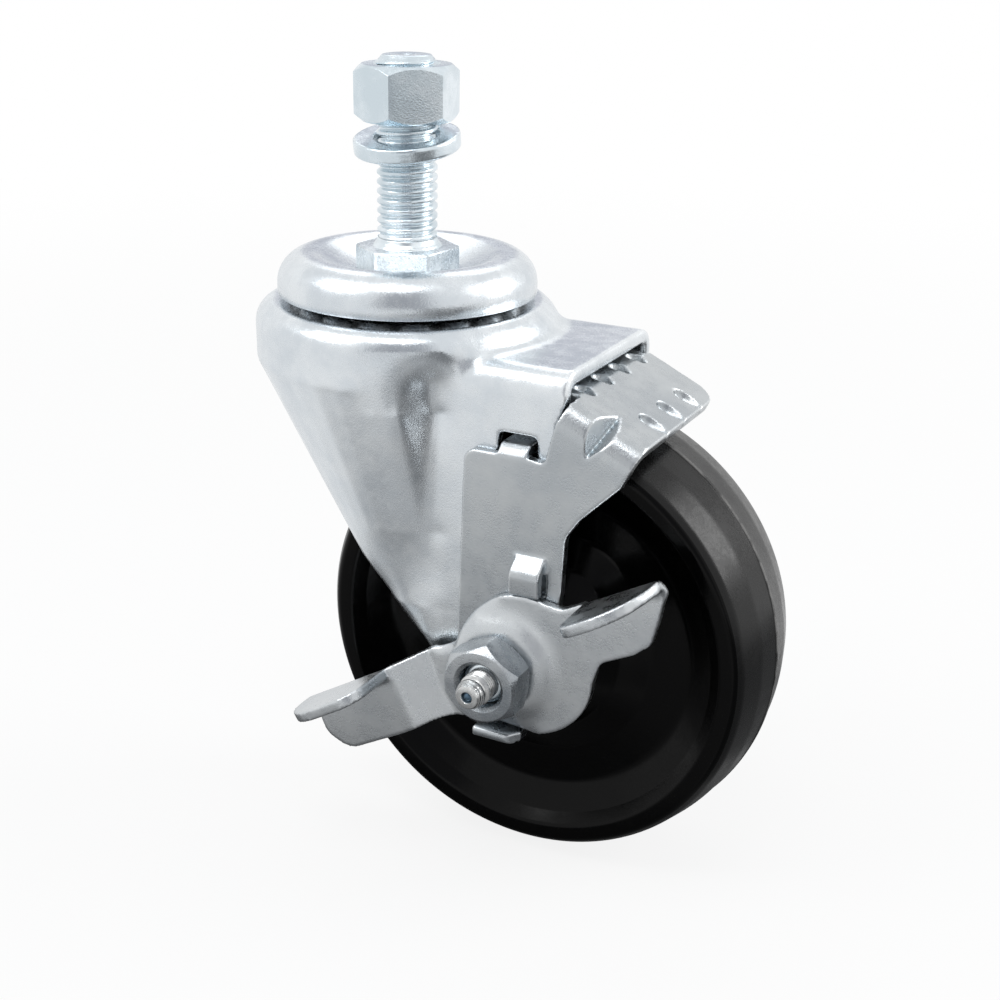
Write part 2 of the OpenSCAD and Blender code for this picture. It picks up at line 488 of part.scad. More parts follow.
// The lever's flat pieces: the cam, the right pedal's wing and the left pedal's arm. Each stops where its pedal's bend begins.
module cam_plate() translate([cam_x, -lever_in, cam_z]) rotate([90, 0, 0]) cylinder(r = cam_r, h = brake_t);
module right_wing() side(lever_in + skin, lever_out - skin) translate([axle_x, axle_z]) polygon(rounded([[6.7, 4, 0], [7.3, 16.7, 0],
    [13.3, 16.2, 3], [18, 18.7, 0], [19.56, 15.98, 0], [35.26, 24.76, 0.3], [34.6, 21.6, 6], [32.6, 12.9, 3], [29.1, 9.9, 3],
    [22.1, 6.4, 3], [19.9, -1.2, 0]]));
module left_arm() intersection() {
    side(lever_in, lever_out + arm_step) translate([axle_x, axle_z]) polygon(rounded([[0.7, 8, 0], [-10.5, 3.8, 2], [-17.8, -0.3, 6],
        [-25.7, -4.95, 0], [-24.03, -7.7, 0], [-43.23, -19.4, 0.3], [-40.9, -24.8, 4], [-34.9, -27.4, 5], [-21.9, -20.1, 8],
        [-12.8, -14.4, 12], [-7.3, -13.5, 6], [3.7, -13.6, 0]]));
    translate([axle_x, 0, axle_z]) rotate([0, -207, 0]) translate([0, 0, -60]) linear_extrude(120)
        polygon(rounded([[-60, -lever_in - skin, 0], [16, -lever_in - skin, 3], [24.8, -lever_in - arm_step, 3], [80, -lever_in - arm_step, 0],
            [80, -lever_out - arm_step, 0], [24.2, -lever_out - arm_step, 5], [15.4, -lever_out + skin, 1], [-60, -lever_out + skin, 0]]));
}

// A pedal: a flange bent out from the lever, along its upper edge. The frame has x along the edge.
module pedal(l, base, depth, ends) difference() {
    rotate([90, 0, 90]) linear_extrude(l) polygon(concat([[-base + brake_t - 0.03, -5], [-base + 0.03, -5], [-base + 0.03, -brake_t - 1]],
        arc([-base - 1, -brake_t - 1], 1, 0, 90, 4),
        [[-base - depth, -brake_t], [-base - depth, -0.03]],
        arc([-base - 1, -brake_t - 1], brake_t + 0.97, 90, 0, 6)));
    for (s = [0, 1]) translate([s * l, -base - depth, -20]) mirror([s, 0, 0]) linear_extrude(40)
        polygon(concat([[-1, -1], [ends[s], -1]], arc([ends[s], ends[s]], ends[s], 270, 180, 8), [[-1, ends[s]]]));
}

// Lever: a cam between the plate's lugs and a pedal on each side.
module brake_lever() color(zinc) difference() {
    union() {
        cam_plate();
        right_wing();
        left_arm();
        intersection() {
            on_axle() polygon([[6.3, lever_out - 0.7], [13.3, lever_out - 0.7], [10.4, boss_out - 0.25], [9.6, boss_out], [6.3, boss_out]]);
            translate([cam_x, -lever_in, cam_z]) rotate([90, 0, 0]) cylinder(r = cam_r - 0.05, h = 9);
        }
        translate([axle_x + 17.9, 0, axle_z + 18.95]) rotate([0, -29.2, 0]) pedal(18, lever_out, 14.4, [3.5, 11.5]);
        translate([axle_x - 45, 0, axle_z - 16.5]) rotate([0, -31.35, 0]) pedal(22.5, lever_out + arm_step, 14, [11, 5]);
    }
    on_axle() polygon([[0, 20], [bushing_d / 2 + 0.06, 20], [bushing_d / 2 + 0.06, 35], [0, 35]]);
    on_axle() polygon([[6, lever_in - 1], [9.8, lever_in - 1], [9.8, lever_in], [9.4, lever_in + 2], [6, lever_in + 2]]);
}

stem();
upper_race();
lower_race();
upper_balls();
lower_balls();
lock_washer();
mounting_nut();
fork();
axle();
axle_lock_washer();
axle_nut();
grease_fitting();
fitting_ball();
pivot_sleeve();
spring_washer();
spanner_bushing();
thrust_washer_near();
thrust_washer_far();
wheel();
bearing_sleeve();
roller_cage();
rollers();
brake_plate();
brake_lever();
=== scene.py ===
"""Looks for the threaded stem castor: zinc plated pressings, a rolled thread, a glossy black wheel."""

import math

import bmesh
import bpy
import numpy as np
from mathutils import Matrix, Vector


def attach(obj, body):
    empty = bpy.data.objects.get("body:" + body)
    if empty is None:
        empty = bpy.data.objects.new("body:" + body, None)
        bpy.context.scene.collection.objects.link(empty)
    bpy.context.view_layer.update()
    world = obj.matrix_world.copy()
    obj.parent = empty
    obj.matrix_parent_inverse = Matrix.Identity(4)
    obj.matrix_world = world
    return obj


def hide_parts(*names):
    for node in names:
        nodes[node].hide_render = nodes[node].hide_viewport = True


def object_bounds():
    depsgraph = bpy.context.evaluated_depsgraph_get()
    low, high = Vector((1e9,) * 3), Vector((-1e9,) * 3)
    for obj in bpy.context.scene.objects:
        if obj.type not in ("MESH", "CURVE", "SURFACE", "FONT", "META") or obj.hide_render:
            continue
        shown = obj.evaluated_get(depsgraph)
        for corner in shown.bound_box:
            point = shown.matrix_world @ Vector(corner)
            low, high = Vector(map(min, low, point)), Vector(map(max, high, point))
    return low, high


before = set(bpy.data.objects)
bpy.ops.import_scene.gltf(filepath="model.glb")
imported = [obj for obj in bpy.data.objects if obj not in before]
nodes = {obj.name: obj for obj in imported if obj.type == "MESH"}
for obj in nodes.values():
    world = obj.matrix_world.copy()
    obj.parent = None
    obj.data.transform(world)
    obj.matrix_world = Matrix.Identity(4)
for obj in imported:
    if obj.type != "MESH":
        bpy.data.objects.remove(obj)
cad_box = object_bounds()
scene = bpy.context.scene


# Sizes in mm, as in the solids, which turn into metres where a mesh is made. Turns are in degrees.

MM = 0.001
AXLE_X = 37.3
AXLE_Z = -78.8

# Stem: the top of its hexagon is at height 0
STUD_R = 6.33
STUD_ROOT_R = 5.5
STUD_NECK_R = 6.13
STUD_TIP_R = 5.75
STUD_PITCH = 1.954
THREAD_FOOT = 1.2
THREAD_TOP = 37.1
HEX_FLATS = 19.05
HEX_FOOT = -5.2
HEX_TURN = 23
STEM_STEPS = 72

# Cap over the upper balls: the bend's centre is its radius and height
CAP_BEND = (21.2, -7.5)
CAP_BEND_R = 6.42
CAP_SHEET = 2.4
CAP_BORE_R = 8.05
CAP_RIM = -9.5

# Wheel
WHEEL_R = 50.8
TREAD_EDGE_R = 47.6

# Nuts: flats, height, bore radius, distance of the foot along the stem or the axle, turn
MOUNTING_NUT = (19.05, 11.1, 6.24, 25.2, 70.6)
AXLE_NUT = (15.875, 7.9, 4.82, 29.1, 54.5)

# Grease fitting: its shoulder's distance from the wheel's middle plane
FITTING_SEAT = 34.7


# Material graphs


class Graph:
    """A material or a world whose nodes are added by name, with values or links as inputs."""

    def __init__(self, owner):
        self.owner = owner
        owner.use_nodes = True
        self.tree = owner.node_tree
        self.tree.nodes.clear()

    def add(self, kind, settings=None, **inputs):
        node = self.tree.nodes.new("ShaderNode" + kind)
        for name, value in (settings or {}).items():
            setattr(node, name, value)
        for key, value in inputs.items():
            self.put(node, key, value)
        return node

    def put(self, node, key, value):
        """Sets an input, which is given by its name or, after an underscore, by its number."""
        names = [i.name.replace(" ", "_") for i in node.inputs]
        socket = node.inputs[int(key[1:])] if key[0] == "_" else node.inputs[names.index(key)]
        if isinstance(value, bpy.types.NodeSocket):
            self.tree.links.new(value, socket)
        elif isinstance(value, bpy.types.Node):
            self.tree.links.new(value.outputs[0], socket)
        else:
            socket.default_value = value

    def place(self):
        return self.add("TexCoord").outputs["Object"]

    def noise(self, place, scale, detail, rough):
        return self.add("TexNoise", Vector=place, Scale=scale, Detail=detail, Roughness=rough).outputs[0]

    def bump(self, height, strength, distance, **below):
        """Bumps from a height, on top of others where these are given as Normal."""
        return self.add("Bump", Strength=strength, Distance=distance, Height=height, **below)

    def math(self, operation, first, *others):
        """One operation on a value alone, or on a value and each of the others in turn."""
        if not others:
            return self.add("Math", {"operation": operation}, _0=first).outputs[0]
        for other in others:
            first = self.add("Math", {"operation": operation}, _0=first, _1=other).outputs[0]
        return first

    def vector(self, operation, first, second=None, output="Vector"):
        node = self.add("VectorMath", {"operation": operation}, _0=first)
        if second is not None:
            self.put(node, "_1", second)
        return node.outputs[output]

    def remap(self, value, start, end, low, high):
        """A smooth step from low at start to high at end."""
        step = {"interpolation_type": "SMOOTHSTEP"}
        return self.add("MapRange", step, _0=value, _1=start, _2=end, _3=low, _4=high).outputs[0]

    def blend(self, first, second, share):
        """Two values added, the second with its share and the first with the rest."""
        return self.math("ADD", self.math("MULTIPLY", first, 1 - share), self.math("MULTIPLY", second, share))

    def mix(self, share, first, second):
        """Two colours mixed."""
        return self.add("Mix", {"data_type": "RGBA"}, _0=share, _6=first, _7=second).outputs[2]

    def seen(self):
        """1 for what the camera sees, directly, in a reflection or through something, and 0 for the rest."""
        path = self.add("LightPath").outputs
        return self.math("MAXIMUM", path["Is Camera Ray"], path["Is Glossy Ray"], path["Is Transmission Ray"])

    def finish(self, shader, output="OutputMaterial"):
        self.tree.links.new(shader.outputs[0], self.add(output).inputs[0])
        return self.owner


def material_graph(name):
    return Graph(bpy.data.materials.new(name))


# Painted shade for the zinc's hollows and a painted highlight for its edges, then the tread's parting line
PAINTED_HOLLOW_SHADE = (0.13, 0.215, 0.26, 1)
PAINTED_EDGE_HIGHLIGHT = (0.93, 0.95, 0.96, 1)
PARTING_LINE = (0.13, 0.128, 0.125, 1)


def zinc(name, light, dark, rough, grain, wave, painted_shade_and_highlight=0.0):
    """Bright zinc plating: bluish clouds, uneven gloss, a fine pebble and slow waves.

    On a fine mesh, the last argument paints shade, a dull teal, into the hollows and a pale highlight onto
    the edges.
    """
    g = material_graph(name)
    place = g.place()
    cloud = g.noise(place, 42, 4, 0.6)
    patch = g.noise(place, 260, 3, 0.6)
    pebble = g.noise(place, 2500, 2, 0.6)
    speck = g.noise(place, 5600, 1, 0.5)
    colour = g.mix(g.remap(g.blend(cloud, patch, 0.3), 0.36, 0.64, 0, 1), dark, light)
    if painted_shade_and_highlight:
        # painted shade in the hollows and a painted highlight on the edges, from the mesh's pointiness
        point = g.add("NewGeometry").outputs["Pointiness"]
        colour = g.mix(g.remap(point, 0.43, 0.493, painted_shade_and_highlight, 0), colour, PAINTED_HOLLOW_SHADE)
        colour = g.mix(g.remap(point, 0.512, 0.56, 0, 0.6 * painted_shade_and_highlight), colour, PAINTED_EDGE_HIGHLIGHT)
    gloss = g.remap(g.blend(patch, pebble, 0.4), 0.35, 0.66, *rough)
    slow = g.bump(g.noise(place, 55, 1, 0.4), wave, 0.0012)
    fine = g.bump(g.math("ADD", pebble, g.math("MULTIPLY", speck, 0.5)), grain, 0.00016, Normal=slow)
    return g.finish(g.add("BsdfPrincipled", Base_Color=colour, Metallic=1.0, Roughness=gloss, Normal=fine))


def plain_steel(name, colour=(0.62, 0.63, 0.64, 1), rough=0.24):
    """Plain metal with faint patches: steel where no colour is given."""
    g = material_graph(name)
    place = g.place()
    patch = g.noise(place, 500, 3, 0.6)
    shade = tuple(0.82 * v for v in colour[:3]) + (1,)
    mixed = g.mix(g.remap(patch, 0.35, 0.65, 0, 1), shade, colour)
    gloss = g.remap(patch, 0.3, 0.7, rough - 0.06, rough + 0.08)
    bump = g.bump(g.noise(place, 2600, 2, 0.5), 0.12, 0.0001)
    return g.finish(g.add("BsdfPrincipled", Base_Color=mixed, Metallic=1.0, Roughness=gloss, Normal=bump))


def black_moulding(name, base, rough, specular, line=0.0):
    """Black moulded wheel: faint flow marks and scuffs, and on the tread the broken pale parting line."""
    g = material_graph(name)
    place = g.place()
    patch = g.noise(place, 180, 4, 0.6)
    fine = g.noise(place, 1400, 3, 0.6)
    scuff = g.remap(g.noise(place, 420, 5, 0.75), 0.6, 0.78, 0, 1)
    worn = 2.2 * base
    colour = g.mix(scuff, (base, base, 1.05 * base, 1), (worn, worn, worn, 1))
    if line:
        across = g.math("ABSOLUTE", g.add("SeparateXYZ", Vector=place).outputs["Y"])
        broken = g.remap(g.noise(place, 130, 3, 0.6), 0.42, 0.56, 0.1, 1)
        share = g.math("MULTIPLY", g.remap(across, 0.0003, 0.0007, line, 0), broken)
        colour = g.mix(share, colour, PARTING_LINE)
    gloss = g.remap(g.blend(patch, fine, 0.5), 0.35, 0.65, *rough)
    slow = g.bump(g.noise(place, 70, 2, 0.5), 0.2, 0.0006)
    bump = g.bump(fine, 0.07, 0.0001, Normal=slow)
    look = {"Base_Color": colour, "Roughness": gloss, "Specular_IOR_Level": specular, "Normal": bump}
    return g.finish(g.add("BsdfPrincipled", **look))


PLATE_LIGHT, PLATE_DARK = (0.755, 0.79, 0.815, 1), (0.62, 0.665, 0.705, 1)
ZINC_SHEET = zinc("zinc_sheet", PLATE_LIGHT, PLATE_DARK, rough=(0.2, 0.32), grain=0.16, wave=0.3, painted_shade_and_highlight=0.75)
ZINC_CAP = zinc("zinc_cap", PLATE_LIGHT, PLATE_DARK, rough=(0.2, 0.32), grain=0.16, wave=0.3)
# Brake plate and lever: darker copies of the sheet's zinc, with painted shade for their low place near the
# floor and the wheel
ZINC_BRAKE_PAINTED_SHADE = zinc("zinc_brake_painted_shade", (0.525, 0.55, 0.565, 1), (0.42, 0.45, 0.475, 1),
                  rough=(0.24, 0.37), grain=0.24, wave=0.2, painted_shade_and_highlight=0.65)
ZINC_LEVER_PAINTED_SHADE = zinc("zinc_lever_painted_shade", (0.64, 0.665, 0.68, 1), (0.53, 0.56, 0.585, 1),
                  rough=(0.24, 0.38), grain=0.24, wave=0.2, painted_shade_and_highlight=0.15)
ZINC_SMALL = zinc("zinc_fasteners", (0.82, 0.88, 0.92, 1), (0.60, 0.68, 0.73, 1),
                  rough=(0.16, 0.3), grain=0.14, wave=0.12)
ZINC_HEXAGON = zinc("zinc_hexagon", (0.78, 0.83, 0.86, 1), (0.46, 0.52, 0.57, 1),
                    rough=(0.18, 0.36), grain=0.6, wave=0.15)
# Axle nut: a darker copy of the fasteners' zinc, with painted shade for its place by the black wheel
ZINC_NUT_PAINTED_SHADE = zinc("zinc_axle_nut_painted_shade", (0.52, 0.545, 0.565, 1), (0.30, 0.33, 0.36, 1),
                rough=(0.2, 0.34), grain=0.3, wave=0.1)
STEEL = plain_steel("bearing_steel")
FITTING = plain_steel("fitting_steel", (0.66, 0.67, 0.67, 1), 0.24)
BRASS = plain_steel("cage_brass", (0.72, 0.55, 0.27, 1), 0.3)
BLUED = plain_steel("blued_ball", (0.10, 0.16, 0.22, 1), 0.3)
BLACK = black_moulding("black_hub", 0.0009, (0.14, 0.26), 0.12)
TREAD = black_moulding("black_tread", 0.004, (0.22, 0.34), 0.27, line=1.0)


# Mesh helpers


def weld(mesh, distance, outwards=False):
    """Joins the points of a mesh closer than a distance in metres, and can turn its faces outwards."""
    work = bmesh.new()
    work.from_mesh(mesh)
    bmesh.ops.remove_doubles(work, verts=work.verts, dist=distance)
    if outwards:
        bmesh.ops.recalc_face_normals(work, faces=work.faces)
    work.to_mesh(mesh)
    work.free()


def piece(name, verts, faces, body, material, replaces=(), sharp=None):
    """A smooth piece from points in mm, with hard edges where faces meet at more than sharp degrees."""
    mesh = bpy.data.meshes.new(name)
    mesh.from_pydata([tuple(c * MM for c in v) for v in verts], [], faces)
    mesh.validate()
    mesh.update()
    made = bpy.data.objects.new(name, mesh)
    scene.collection.objects.link(made)
    mesh.materials.append(material)
    weld(mesh, 1e-7, outwards=True)
    mesh.shade_smooth()
    if sharp:
        mesh.set_sharp_from_angle(angle=math.radians(sharp))
    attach(made, body)
    if replaces:
        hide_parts(*replaces)
    return made


def upright(r, h, a):
    """A point on a ring round the stem."""
    return (r * math.cos(a), r * math.sin(a), h)


def on_axle(r, h, a):
    """A point on a ring round the axle, with h from the wheel's middle plane towards the axle nut."""
    return (AXLE_X + r * math.cos(a), -h, AXLE_Z + r * math.sin(a))


def net(columns, rows, around=True, closed=True):
    """Faces between columns of points.

    Around joins the last column to the first, and closed joins the last row to the first.
    """
    return [(i * rows + j, i * rows + (j + 1) % rows,
             (i + 1) % columns * rows + (j + 1) % rows, (i + 1) % columns * rows + j)
            for i in range(columns if around else columns - 1) for j in range(rows if closed else rows - 1)]


def lathe(profile, n, place=upright, closed=True):
    """Vertices and faces of a turned ring in n steps, whose profile is radius and height."""
    verts = [place(r, h, 2 * math.pi * i / n) for i in range(n) for r, h in profile]
    return verts, net(n, len(profile), closed=closed)


def joined(*parts):
    """The vertices and faces of several parts as one."""
    verts, faces = [], []
    for part_verts, part_faces in parts:
        faces += [tuple(len(verts) + k for k in face) for face in part_faces]
        verts += part_verts
    return verts, faces


def arc(centre, r, start, end, n):
    """Points on an arc in n steps, from one angle in degrees to another."""
    turns = [math.radians(start + (end - start) * i / n) for i in range(n + 1)]
    return [(centre[0] + r * math.cos(a), centre[1] + r * math.sin(a)) for a in turns]


def rounded(corners, n):
    """An outline with its corners rounded in n steps: each corner is x, y and its radius."""
    out = []
    for i, (x, y, r) in enumerate(corners):
        here = np.array((x, y), float)
        before = np.array(corners[i - 1][:2], float) - here
        after = np.array(corners[(i + 1) % len(corners)][:2], float) - here
        before /= np.linalg.norm(before)
        after /= np.linalg.norm(after)
        half = math.acos(max(-1, min(1, float(before @ after)))) / 2
        if r <= 0 or half > math.radians(89):
            out.append((x, y))
            continue
        centre = here + (before + after) / np.linalg.norm(before + after) * r / math.sin(half)
        start = here + before * r / math.tan(half) - centre
        end = here + after * r / math.tan(half) - centre
        first = math.atan2(start[1], start[0])
        sweep = (math.atan2(end[1], end[0]) - first + math.pi) % (2 * math.pi) - math.pi
        turns = [first + sweep * k / n for k in range(n + 1)]
        out += [(centre[0] + r * math.cos(a), centre[1] + r * math.sin(a)) for a in turns]
    return out


def divided(outline, steps):
    """An outline with each side cut into as many steps as the function steps gives for its length."""
    out = []
    for p, q in zip(outline, outline[1:] + outline[:1]):
        n = steps(math.dist(p, q))
        out += [(p[0] + (q[0] - p[0]) * k / n, p[1] + (q[1] - p[1]) * k / n) for k in range(n)]
    return out


def band(x, low, high, edge):
    """1 between low and high, falling to 0 over edge outside them."""
    return np.clip((x - low) / edge + 1, 0, 1) * np.clip((high - x) / edge + 1, 0, 1)


def soften(node, name, body, material, voxel, rounds, shape=None):
    """A pressing with rolled, soft edges: the solid remeshed finely, then relaxed without shrinking."""
    made = bpy.data.objects.new(name, nodes[node].data.copy())
    scene.collection.objects.link(made)
    weld(made.data, 1e-6)
    remesh = made.modifiers.new("remesh", "REMESH")
    remesh.mode = "VOXEL"
    remesh.voxel_size = voxel * MM
    bpy.context.view_layer.update()
    mesh = bpy.data.meshes.new_from_object(made.evaluated_get(bpy.context.evaluated_depsgraph_get()))
    made.modifiers.clear()
    made.data = mesh
    n = len(mesh.vertices)
    v = np.empty(n * 3)
    mesh.vertices.foreach_get("co", v)
    v = v.reshape(-1, 3) / MM
    ends = np.empty(len(mesh.edges) * 2, int)
    mesh.edges.foreach_get("vertices", ends)
    a, b = ends.reshape(-1, 2).T
    count = np.bincount(ends, minlength=n)[:, None]

    def relax(v, share, turns=1):
        """Moves each point by a share of the way to the mean of its neighbours, as many times as turns."""
        for _ in range(turns):
            sums = [np.bincount(a, v[b, k], n) + np.bincount(b, v[a, k], n) for k in range(3)]
            v = v + share * (np.stack(sums, 1) / count - v)
        return v

    # each round first shrinks the shape and then swells it again, so only its edges change
    for _ in range(rounds):
        v = relax(relax(v, 0.6), -0.62)
    v = relax(v, 0.4)
    if shape:
        v = shape(v, relax)
    mesh.vertices.foreach_set("co", (v * MM).ravel())
    mesh.update()
    mesh.materials.clear()
    mesh.materials.append(material)
    mesh.shade_smooth()
    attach(made, body)
    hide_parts(node)


def dress(node, material):
    """A CAD node that keeps its shape, with its material."""
    mesh = nodes[node].data
    mesh.materials.clear()
    mesh.materials.append(material)


# Stem: hexagon, flare, rolled half inch thread, and the shank down to its riveted foot


def thread(pitch_steps=12):
    """A rolled thread whose rows follow its helix, faded into the neck below and the tip's chamfer above."""

    def radius(turn):
        wave = 0.5 - 0.5 * math.cos(2 * math.pi * turn)
        return STUD_ROOT_R + (STUD_R - STUD_ROOT_R) * min(1, 1.12 * wave ** 0.62)

    fade_length = 1.1 * STUD_PITCH
    rows = int((THREAD_TOP - THREAD_FOOT) / STUD_PITCH * pitch_steps) + pitch_steps + 3
    verts = []
    for i in range(STEM_STEPS + 1):
        for j in range(-pitch_steps, rows):
            z = THREAD_FOOT + (j / pitch_steps + i / STEM_STEPS) * STUD_PITCH
            z = min(max(z, THREAD_FOOT), THREAD_TOP)
            fade = min((z - THREAD_FOOT) / fade_length, 1)
            fade = fade * fade * (3 - 2 * fade)
            r = (1 - fade) * STUD_NECK_R + fade * radius(j % pitch_steps / pitch_steps)
            r = min(r, STUD_TIP_R + THREAD_TOP - z)
            verts.append(upright(r, z, 2 * math.pi * i / STEM_STEPS))
    return verts, net(STEM_STEPS + 1, pitch_steps + rows, around=False, closed=False)


def build_stem():
    # the stud's closed end with its turned centre, and the flare onto the hexagon
    centre_r, centre_z = 0.3, 37.7
    end = [(STUD_TIP_R, THREAD_TOP), (5.2, 37.75), (4.9, 38.0), (4.3, 38.08), (1.6, 38.0), (1.1, 37.8),
           (centre_r, centre_z)]
    centre = [upright(centre_r, centre_z, 2 * math.pi * i / STEM_STEPS) for i in range(STEM_STEPS)]
    foot_r = 7.2
    flare = [p for p in arc((8.3, 2.1), 2.1, 185, 268, 8) if p[0] < foot_r]
    flare = [(7.35, 0.0), (foot_r, 0.12)] + flare[::-1] + [(STUD_NECK_R, 1.5)]
    # below the hexagon: the shoulder, the shank, and the foot riveted over under the raceway
    core_r, shank_r, rivet_r = 0.2, 8, 6.4
    shank = [(core_r, -5.1), (shank_r, -5.1), (shank_r, -19.4), (rivet_r, -19.4), (rivet_r, -21.85)]
    shank += [(9.4, -21.85)] + arc((7.8, -22.7), 1.6, 0, -80, 6) + [(core_r, -24.8)]
    verts, faces = joined(
        thread(),
        lathe(end, STEM_STEPS, closed=False),
        lathe(flare, STEM_STEPS, closed=False),
        (centre, [tuple(range(STEM_STEPS))]),
        lathe(shank, STEM_STEPS))
    piece("stem_rolled", verts, faces, "stem_unit", ZINC_SMALL, ("stem",))


def build_hexagon():
    """The stem's hexagon, with its corners sheared and its top and foot slightly turned."""
    corner_r = 0.997 * HEX_FLATS / 2 / math.cos(math.pi / 6)
    turns = [math.radians(HEX_TURN + 60 * i + d) for i in range(6) for d in (-2.2, 2.2)]
    rings = [(0.955, HEX_FOOT), (0.988, HEX_FOOT), (1.0, HEX_FOOT + 0.2), (1.0, -0.28), (0.985, -0.06),
             (0.965, 0.0), (0.55, 0.0)]
    verts = [upright(share * corner_r, z, a) for share, z in rings for a in turns]
    faces = net(len(rings), len(turns), around=False) + [tuple(range(len(turns)))]
    piece("stem_hexagon", verts, faces, "stem_unit", ZINC_HEXAGON, sharp=28)


# Cap, fork and brake pressings


def build_cap():
    """The rolled cap: a flat ring on the stem's shoulder, bent over the balls and down to its rim."""
    inner_r = CAP_BEND_R - CAP_SHEET
    outside, inside = CAP_BEND[0] + CAP_BEND_R, CAP_BEND[0] + inner_r
    under = HEX_FOOT - CAP_SHEET
    outline = [(CAP_BORE_R, HEX_FOOT), (10.6, HEX_FOOT)] + arc(CAP_BEND, CAP_BEND_R, 114, 0, 40)
    outline += [(outside, CAP_RIM + 0.2), (outside - 0.17, CAP_RIM)]
    outline += [(inside + 0.18, CAP_RIM), (inside, CAP_RIM + 0.2)]
    outline += arc(CAP_BEND, inner_r, 0, 114, 24) + [(11.2, under), (CAP_BORE_R, under)]
    verts, faces = lathe(divided(outline, lambda length: 6 if length > 2 else 1), 144)
    piece("cap_rolled", verts, faces, "stem_unit", ZINC_CAP, ("upper_race",), sharp=50)


def shape_fork(v, relax):
    """Rounds the sheet more where it was drawn: the hood's joint, a leg's crease, its foot and the roof."""
    x, y, z = v.T
    side, reach = np.abs(y), np.hypot(x, y)
    joint = band(x, 9, 23, 4) * band(side, 20.6, 31, 2) * band(z, -25, -16.5, 2.5) * (reach > 26.5)
    crease = band(x, 14.5, 23, 3) * band(side, 20.2, 40, 1) * band(z, -73, -34, 6)
    foot = band(x, 8, 38, 4) * band(side, 20, 40, 1) * band(z, -68, -57, 3)
    roof = band(x, 21, 34, 2.5) * band(side, 0, 22, 2) * band(z, -18, -11.8, 1) * band(reach, 29.6, 34.5, 1.2)
    for region, turns in ((joint, 120), (crease, 60), (foot, 110), (roof, 40)):
        v = relax(v, 0.5 * region[:, None], turns)
    return v


def shape_lever(v, relax):
    """Trims the right pedal's end flush with the wing under it, and rounds that corner and the boss."""
    wing_end, outwards = np.array((72.1, 0, -55.1)), np.array((0.963, 0, -0.269))
    past = np.maximum(0, (v - wing_end) @ outwards) * np.clip((v[:, 2] + 60) / 4, 0, 1)
    v = v - 0.9 * past[:, None] * outwards
    x, _, z = v.T
    boss = band(np.hypot(x - AXLE_X, z - AXLE_Z), 10.2, 14.5, 1.6)
    corner = band(np.hypot(x - 72.3, z + 53.2), 0, 1.5, 1.8)
    for region, turns in ((boss, 70), (corner, 24)):
        v = relax(v, 0.5 * region[:, None], turns)
    return v


# Wheel: one turned moulding with a flash line round the tread


def build_wheel():
    # hub, dish, stepped rim and tread of one half: radius, half width, rounding
    half = [(12.4, 17.3, 0), (14.6, 17.3, 0.8), (16.8, 15.6, 2), (20.5, 12.4, 3), (27, 9.8, 3),
            (35.5, 9.8, 5), (41, 13.2, 3), (43.6, 15.4, 2), (46.8, 15.9, 1.6), (48.3, 14, 3),
            (WHEEL_R - 0.9, 7.4, 12), (WHEEL_R - 0.18, 0.75, 0.3), (WHEEL_R, 0.4, 0.1), (WHEEL_R, 0, 0)]
    outline = rounded(half + [(r, -h, q) for r, h, q in reversed(half[:-1])], 7)
    verts, faces = lathe(divided(outline, lambda length: max(1, int(length / 1.5))), 192, on_axle)
    made = piece("wheel_moulding", verts, faces, "wheel_unit", BLACK, ("wheel",), sharp=60)
    made.data.materials.append(TREAD)
    for f in made.data.polygons:
        if math.hypot(f.center.x / MM - AXLE_X, f.center.z / MM - AXLE_Z) > TREAD_EDGE_R:
            f.material_index = 1


# Nuts and the grease fitting


def build_nut(name, size, place, body, material, node):
    """A hexagon nut with rolled corners, chamfers and a countersunk bore, as a profile along each ray."""
    flats, height, bore, foot, turn = size
    corner = flats / 2 / math.cos(math.pi / 6)
    worn, lead, chamfer, steps = 0.05425, 0.75, 1.5, 14
    face_r = flats / 2 - 0.35
    slope = chamfer / (corner - face_r)
    verts = []
    for k in range(6 * steps):
        # the rays lie closer together towards the corners
        t = -1 + 2 * (k % steps) / steps
        off_flat = math.radians(30 * math.copysign(abs(t) ** 0.8, t))
        r = min(flats / 2 / math.cos(off_flat), corner - worn)
        cut = max(0.02, (r - face_r) * slope)
        profile = [(bore, height - lead), (bore + lead, height - 0.06), (bore + lead + 0.1, height),
                   (face_r - 0.25, height), (face_r, height - 0.04), (r - 0.05, height - cut),
                   (r, height - cut - 0.1), (r, height / 2), (r, cut + 0.1), (r - 0.05, cut),
                   (face_r, 0.04), (face_r - 0.25, 0), (bore + lead, 0), (bore, lead)]
        a = math.radians(60 * (k // steps) + turn) + off_flat
        verts += [place(q, foot + h, a) for q, h in profile]
    piece(name, verts, net(6 * steps, len(profile)), body, material, (node,), sharp=24)


